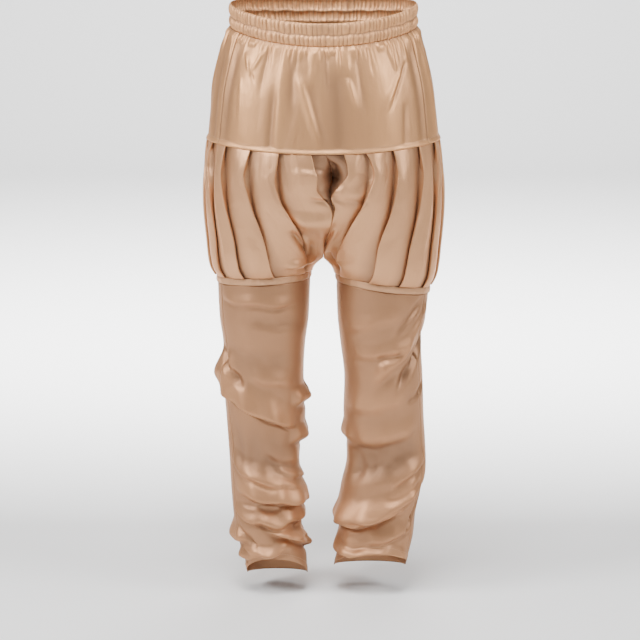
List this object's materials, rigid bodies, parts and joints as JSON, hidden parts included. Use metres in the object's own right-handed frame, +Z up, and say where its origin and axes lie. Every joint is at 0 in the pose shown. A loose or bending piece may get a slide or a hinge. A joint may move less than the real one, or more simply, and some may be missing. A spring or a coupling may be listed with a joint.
{
  "type": "pleated pajama trousers",
  "caption": "Worn ethnic pajama trousers: elastic gathered waist, smooth hip yoke, knife-pleated bloomers over the thighs, narrow bands and slim scrunched lower legs",
  "frame": {"origin": "Centre of the waist opening, 9 mm above mid height of the waistband at the sides, where a waist holds the trousers up", "axes": "+Z up, -Y is the front of the trousers, +X is the side of their left leg"},
  "size_m": [0.4288, 0.2977, 1.0398],
  "materials": {
    "satin": "beige art silk satin, soft sheen",
    "elastic_satin": "beige satin gathered over elastic",
    "band_satin": "beige satin, folded and pressed"
  },
  "bodies": {
    "root": {"waistband": "elastic_satin", "yoke_front": "satin", "yoke_back": "satin", "bloomer_front_right": "satin", "bloomer_back_right": "satin", "band_right": "band_satin", "leg_front_right": "satin", "leg_back_right": "satin", "bloomer_front_left": "satin", "bloomer_back_left": "satin", "band_left": "band_satin", "leg_front_left": "satin", "leg_back_left": "satin"}
  },
  "joints": []
}
